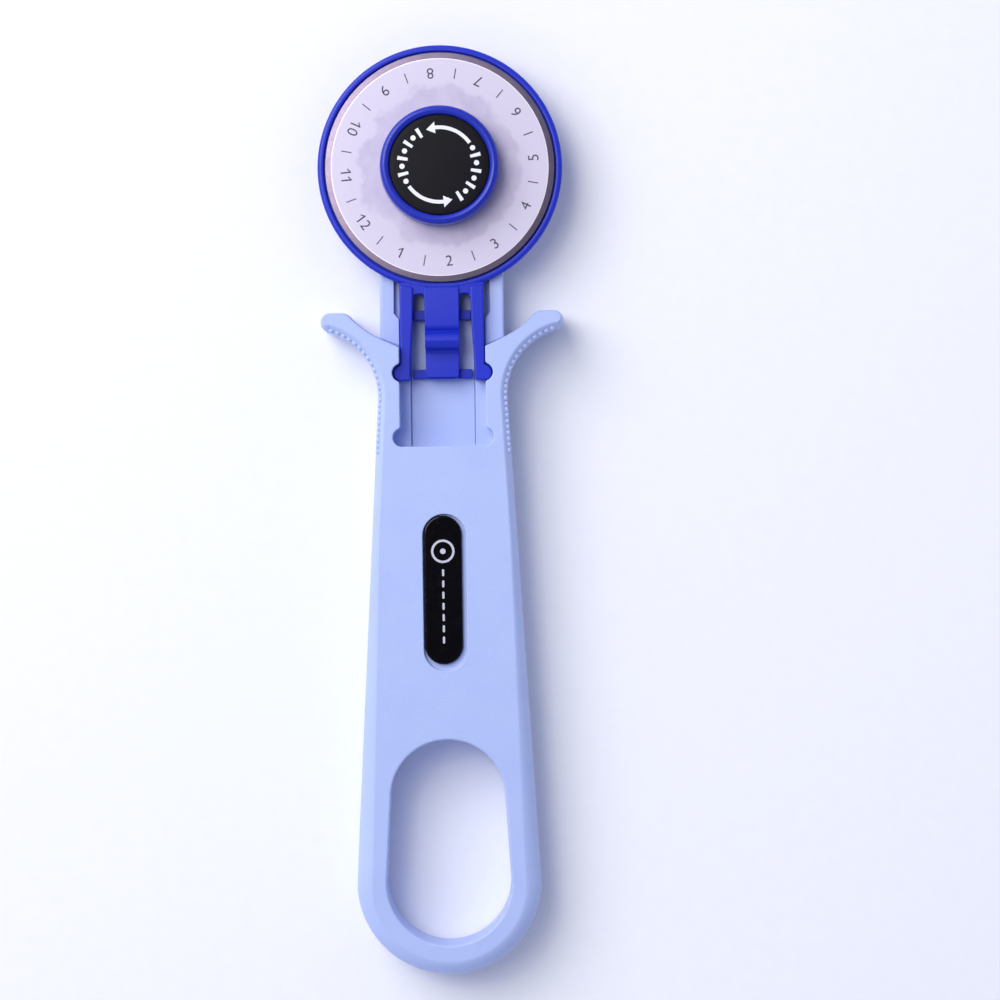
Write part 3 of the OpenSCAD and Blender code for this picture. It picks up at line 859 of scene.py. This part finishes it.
# %% Ring, apron and slot
GUARD_Z, RIM_Z, GUARD_R, PLATE_TOP, RIM_EDGE, FINE_EDGE = 8.4, 10.2, 24.1, 9.6, 0.62, 0.25
APRON_W, APRON_TOP, MOUTH_Y, SLIDE, SLOT_R = 8.3, RIM_Z - 0.02, -25.35, 12.7, 6.0
ring_profile = ([(0.0, GUARD_Z)] + arc(GUARD_R - FINE_EDGE, GUARD_Z + FINE_EDGE, FINE_EDGE, -90, 0, 3)
                + arc(GUARD_R - RIM_EDGE, RIM_Z - RIM_EDGE, RIM_EDGE, 0, 90, 7)
                + arc(GUARD_R - 1.05, RIM_Z - FINE_EDGE, FINE_EDGE, 90, 180, 3)
                + [(GUARD_R - 1.3, PLATE_TOP), (0.0, PLATE_TOP)])
guard = turned("blade_guard_moulding", ring_profile, 240)
combine(guard, slab("apron", oblong(APRON_W, -25.6, -22.6), GUARD_Z, APRON_TOP, 0.2, 0.25), "UNION")
combine(guard, slab("cut", two_rounds((0, SLIDE), SLOT_R, (0, 0), SLOT_R, 32), GUARD_Z, PLATE_TOP,
                    -0.15, -0.15))
for x in (-4.5, 4.5):
    top = arc(x + 0.45, MOUTH_Y, 0.5, 0, 90, 5) + arc(x - 0.45, MOUTH_Y, 0.5, 90, 180, 5)
    mouth = top + [(x - 0.95, -27), (x + 0.95, -27)]
    combine(guard, slab("cut", mouth, GUARD_Z, APRON_TOP, -0.15, -0.2))

# %% [markdown]
# ## Tongue, cross bar and foot
#
# The thumb presses the tongue and pulls the guard back by the ridge. Two bars under it reach out
# sideways and run in the neck's channel, so that the guard can't lift off.

# %% Thumb tongue
PLATE_Z, LOW_Z, FOOT_END = RIM_Z + 0.5, RIM_Z - 1, 41.65
side_view = ([(23.33, GUARD_Z), (23.33, RIM_Z), (24.1, PLATE_Z), (31.0, PLATE_Z), (31.6, PLATE_Z - 0.1),
              (32.2, PLATE_Z - 0.5)]
             + arc(34.1, PLATE_Z + 0.3, 1.7, 165, 15, 14)
             + [(36.0, LOW_Z + 0.4), (36.3, LOW_Z + 0.12), (36.7, LOW_Z), (38.2, LOW_Z + 0.1),
                (FOOT_END - 0.3, LOW_Z + 0.1), (FOOT_END + 0.3, LOW_Z - 0.5), (FOOT_END + 0.3, SPLIT + 0.6),
                (36, SPLIT + 0.6), (34.5, GUARD_Z)])


def across(name, outline, half_width):
    """A side view of (distance down the handle, height) points, extruded from side to side."""
    flat = [place(-half_width, -s, z) for s, z in outline]
    return stack(name, [flat, [p + Vector((2 * half_width * MM, 0, 0)) for p in flat]])


tongue = across("tongue", side_view, 4.4)
plan = ([(-3.4, -22), (-3.4, -31.5)] + arc(-2.3, -FOOT_END + 0.95, 0.95, 180, 270, 4)
        + arc(2.3, -FOOT_END + 0.95, 0.95, 270, 360, 4) + [(3.4, -31.5), (3.4, -22)])
combine(tongue, slab("plan", plan, 5, 14), "INTERSECT")
ease(tongue, 0.16, 40)
combine(guard, tongue, "UNION")
BARS = ((5.6, 30, 28, 5.8, 7.8), (3.0, 30, 28, 7.7, 8.6), (5.8, 41.55, 39.64, 5.8, 7.46))
for half_width, far, near, low, high in BARS:
    combine(guard, slab("bar", oblong(half_width, -far, -near), low, high, 0.15, 0.18, 2), "UNION")
bring(guard, "guard", guard_pp, "guard_plastic", "blade_guard")

# %% [markdown]
# ## Spring legs
#
# Each leg is a slim bar that starts as a raised pad on the apron and ends in a ball. The ball clicks
# into a notch of the recess. The top edge is rounded a little more than the rest of the guard.

# %% Two legs
LEG_OUT, LEG_TOP, LEG_START, BALL_R = 8.3, RIM_Z + 0.5, 23.1, 1.6
leg = ([(LEG_OUT, -38.4)] + arc(LEG_OUT - 0.5, -LEG_START - 0.5, 0.5, 0, 90, 5)
       + arc(6.1, -LEG_START - 0.8, 0.5, 90, 180, 5)
       + [(5.66, -26), (5.75, -30), (5.95, -33.5), (6.15, -36.5), (6.3, -39)]
       + arc(6.7, -41.5, 0.4, 180, 270, 4)
       + arc(NOTCH_X, high_y, BALL_R, -110, 82.8, 26))
legs = []
for way in (1, -1):
    outline = leg if way > 0 else [(-x, y) for x, y in reversed(leg)]
    legs.append(slab("leg", outline, SPLIT + 0.2, LEG_TOP, 0.2, 0.28, 4, 0.08))
bring(joined(legs, "guard_spring_legs"), "guard", guard_pp, "guard_plastic", "guard_legs")

# %% [markdown]
# ## Knob and its disc
#
# The knob clamps the blade. Its rim is one round bead about 2 mm wide, and a black disc is pressed
# into it and stands slightly domed. The nut sits in a six-sided pocket underneath.

# %% Knob
NUT_Z, CAP_Z, KNOB_TOP, KNOB_Z, KNOB_R, CAP_R = 12.42, 15.92, 17.12, 11.13, 11.75, 9.8
CAP_T, CAP_DOME, NUT_FLATS, NUT_DEEP, WEB_OUT, WEB_IN = 0.8, 0.3, 10, 3.2, 9.2, 3.4
lip_in = CAP_R + 0.05
lip_r = (KNOB_R - 0.15 - lip_in) / 2
knob_profile = ([(WEB_OUT, KNOB_Z)] + arc(KNOB_R - 0.6, KNOB_Z + 0.5, 0.5, -90, 0, 4)
                + [(KNOB_R - 0.02, KNOB_Z + 1.2), (KNOB_R, KNOB_Z + 2.2)]
                + arc(KNOB_R - 0.15 - lip_r, KNOB_TOP - lip_r, lip_r, 0, 180, 14)
                + [(lip_in, CAP_Z), (WEB_IN, CAP_Z), (WEB_IN, NUT_Z + 0.03),
                   (WEB_OUT, NUT_Z + 0.03)])
knob = turned("knob_body", knob_profile, 200)
hexagon = ring_of(0, 0, NUT_FLATS / math.sqrt(3), 6)
combine(knob, slab("cut", hexagon, NUT_Z - 0.1, NUT_Z + NUT_DEEP))
bring(knob, "knob", knob_pp, "guard_plastic", "knob")


def dome(r):
    """Height of the black disc's face at a distance from its centre."""
    return CAP_Z + CAP_T - CAP_DOME * (r / CAP_R) ** 2


levels = [CAP_R - 0.25 - (CAP_R - 0.25) * k / 10 for k in range(11)]
cap_profile = ([(0.0, CAP_Z), (CAP_R - 0.1, CAP_Z), (CAP_R, CAP_Z + 0.1), (CAP_R, CAP_Z + 0.3)]
               + arc(CAP_R - 0.2, dome(CAP_R) - 0.2, 0.2, 0, 80, 3)
               + [(r, dome(r)) for r in levels])
cap = turned("knob_disc", cap_profile, 160)
bring(cap, "knob", cap_abs, "cap_plastic", "knob_cap")

# %% [markdown]
# ## Printed ring on the knob
#
# White pad-printed marks run round the disc: two curved arrows that show which way to turn, with a
# row of bars and dots between them. They are shapes, not letters. Each mark is a thin sheet wrapped
# onto the dome by moving its points to the dome's height.

# %% Turn marks
INNER, OUTER, SHAFT_W, BARB_W, DOT_R = 6.25, 8.3, 0.72, 2.3, 0.52


def band(start, end, low=INNER, high=OUTER, steps=12):
    """A piece of a ring between two angles."""
    return arc(0, 0, high, start, end, steps) + arc(0, 0, low, end, start, steps)


def printed(outline):
    """An outline as a thin sheet of ink that follows the dome."""
    mark = slab("mark", outline, 0.0, SUNK + PROUD)
    shape = edit(mark)
    for v in shape.verts:
        r = math.hypot(v.co.x / MM - PIVOT_X, v.co.y / MM - PIVOT_Y)
        v.co.z += (dome(r) - SUNK) * MM
    bmesh.update_edit_mesh(mark.data)
    clear()
    return mark


def polar(r, angle):
    """A point at a distance and an angle from the knob's centre."""
    return r * math.cos(math.radians(angle)), r * math.sin(math.radians(angle))


mid = (INNER + OUTER) / 2
turn_marks = []
for start in (35, 215):
    end = start + 62
    shaft = band(start, end, mid - SHAFT_W / 2, mid + SHAFT_W / 2, 20)
    point = [polar(mid - BARB_W / 2, end - 1), polar(mid + BARB_W / 2, end - 1), polar(mid, end + 13)]
    turn_marks += [printed(shaft), printed(point)]
for k, angle in enumerate([a for base in (122, 302) for a in range(base, base + 85, 12)]):
    dot, bar = ring_of(*polar(mid, angle), DOT_R, 20), band(angle - 2.6, angle + 2.6, steps=3)
    turn_marks.append(printed(dot if k % 2 else bar))
bring(joined(turn_marks, "knob_print"), "knob", print_white, "cap_plastic")

# %% [markdown]
# ## Bolt
#
# The bolt's square head lies in the back of the neck. Its shoulder carries the blade, two flats key
# the washer, and its end is threaded.

# %% Pivot bolt
HEAD_Z, HEAD_W, SHOULDER_R = 1.4, 5.5, 3.95
corner = HEAD_W - 1.6
head = mirrored([(corner, -HEAD_W), (HEAD_W, -corner), (HEAD_W, corner), (corner, HEAD_W)])
bolt = slab("pivot_bolt_turned", head, HEAD_Z, HEAD_Z + 2, 0.35, 0.1, 3)
shoulder_top = BLADE_TOP + 0.015
shoulder = slab("shoulder", ring_of(0, 0, SHOULDER_R, 64), HEAD_Z + 0.5, shoulder_top, 0, 0.1, 2)
combine(bolt, shoulder, "UNION")
flat = math.degrees(math.asin(3.1 / SHOULDER_R))
keyed = arc(0, 0, SHOULDER_R, -flat, flat, 16) + arc(0, 0, SHOULDER_R, 180 - flat, 180 + flat, 16)
combine(bolt, slab("key", keyed, shoulder_top - 1, NUT_Z - 0.03, 0, 0.1, 2), "UNION")
thread = [(0.0, 11.0), (2.4, 11.0), (2.4, 12.2)]
z = 12.2
while z < 15.4:
    thread += [(3.0, z + 0.42), (3.0, z + 0.55), (2.45, z + 0.97)]
    z += 1.0
thread += [(2.4, 15.52), (0.0, 15.52)]
combine(bolt, turned("thread", thread, 48), "UNION")
bring(bolt, "handle", zinc, "bolt_steel", "pivot_bolt")

# %% [markdown]
# ## Screws
#
# Four cross-head screws hold the shells together from behind. One is spun, cut and copied.

# %% Screws of the handle
def one_screw():
    """A pan-head screw that points up, at the pivot, with a cross recess in its head."""
    seat_z = 1.8
    outline = ([(0.0, seat_z - 1.2), (0.9, seat_z - 1.2)]
               + arc(1.6, seat_z - 0.7, 0.5, -90, 0, 5) + [(2.1, seat_z - 0.1), (2.1, seat_z)]
               + [(1.1, seat_z), (1.1, SPLIT)])
    z = SPLIT
    while z < 9.0:
        outline += [(0.95, z + 0.1), (0.72, z + 0.4), (0.95, z + 0.7)]
        z += 0.8
    outline += [(0.7, 9.6), (0.0, 10.2)]
    screw = turned("screw", outline, 40)
    for a, b in ((0.24, 1.25), (1.25, 0.24)):
        combine(screw, slab("cut", oblong(a, -b, b), 0.2, 1.15))
    return screw


screws = copies(one_screw(), SCREWS, "shell_screws")
bring(screws, "handle", zinc, "screw_steel", "handle_screws")

# %% [markdown]
# ## Pieces kept from the frame
#
# The washers, the nut and the bush sit inside the clamp and are seen only when the knob lifts. Their
# frame solids already have the right shape, so they keep it and only get their finishes.

# %% Finishes on kept solids
for name, material in (("flat_washer", zinc), ("spring_washer", spring), ("knob_nut", brass),
                       ("slide_bush", bush_acetal)):
    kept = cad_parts[name]
    kept.data.materials.clear()
    kept.data.materials.append(material)
    print("kept", name, "as", material.name)

# %% [markdown]
# ## Floor
#
# The cutter lies on a pale studio floor, half a millimetre below the ground so that nothing touches
# it. Its paper is matt, with a very faint change of tone.

# %% Floor
clear()
bpy.ops.mesh.primitive_plane_add(size=3.0, location=(0, 0, -0.0005))
floor = bpy.context.active_object
floor.name = "studio_floor"
floor_paint, floor_tree, floor_shader, floor_where = new_material("matt_white_paper")
paper = node(floor_tree, "ShaderNodeTexNoise", Vector=floor_where, Scale=per_mm(3), Detail=2.0)
floor_colour = blend_of(floor_tree, paper.outputs["Fac"], linear("#fbfbfd"), linear("#f6f6f9"))
floor_tree.links.new(floor_colour, floor_shader.inputs["Base Color"])
floor_shader.inputs["Roughness"].default_value = 0.9
floor_shader.inputs["Specular IOR Level"].default_value = 0.1
floor.data.materials.append(floor_paint)

# %% [markdown]
# ## Lights
#
# A wide soft light stands at the upper left, with a smaller one nearer above. The backdrop is dimmer
# straight above and on the right, so that the rims and bevels on the right turn darker.

# %% Lights
def panel(name, where, aim, size, power, colour="#ffffff"):
    """A round area light that looks at a point, in metres and watts."""
    lamp = bpy.data.lights.new(name, "AREA")
    lamp.shape, lamp.size, lamp.energy = "DISK", size, power
    lamp.color = linear(colour)[:3]
    obj = bpy.data.objects.new(name, lamp)
    bpy.context.scene.collection.objects.link(obj)
    obj.location = where
    obj.rotation_euler = (Vector(aim) - Vector(where)).to_track_quat("-Z", "Y").to_euler()
    return obj


panel("key_softbox", (-0.48, 0.46, 0.70), (0.0, 0.04, 0), 0.80, 6.2, "#fffdf8")
panel("near_softbox", (-0.25, 0.17, 0.93), (0.0, 0.04, 0), 0.36, 1.7, "#fffaf0")
world = bpy.data.worlds.new("studio_air")
bpy.context.scene.world = world
world.use_nodes = True
sky = world.node_tree
direction = node(sky, "ShaderNodeTexCoord").outputs["Generated"]
upward = node(sky, "ShaderNodeSeparateXYZ", Vector=direction).outputs["Z"]
zenith = node(sky, "ShaderNodeMapRange", Value=upward, From_Min=0.75, From_Max=0.96, To_Min=1.0,
              To_Max=0.16)
lit_side = node(sky, "ShaderNodeVectorMath", {"operation": "DOT_PRODUCT"}, i0=direction,
                i1=(-0.85, 0.5, 0)).outputs["Value"]
turn = node(sky, "ShaderNodeMapRange", Value=lit_side, From_Min=-0.8, From_Max=0.8, To_Min=0.55,
            To_Max=1.0)
strength = node(sky, "ShaderNodeMath", {"operation": "MULTIPLY"}, i0=zenith.outputs["Result"],
                i1=turn.outputs["Result"])
backdrop = sky.nodes["Background"]
backdrop.inputs["Color"].default_value = linear("#d8e0ff")
sky.links.new(strength.outputs["Value"], backdrop.inputs["Strength"])

# %% [markdown]
# ## Camera
#
# The camera looks straight down from 0.76 m above the handle's face. It is turned a little, because
# the cutter leans to the left by under one degree.

# %% Camera
LEAN, AWAY, VIEW_W, SENSOR = math.radians(0.785), 760.0, 196.5, 36.0
camera_data = bpy.data.cameras.new("camera")
camera_data.sensor_width = SENSOR
camera_data.lens = SENSOR * AWAY / VIEW_W
camera = bpy.data.objects.new("camera", camera_data)
bpy.context.scene.collection.objects.link(camera)
camera.location = place(10.95, -65.6, AWAY + 11)
camera.rotation_euler = (0, 0, -LEAN)
bpy.context.scene.camera = camera
bpy.context.scene.view_settings.view_transform = "Standard"
bpy.context.scene.view_settings.look = "None"
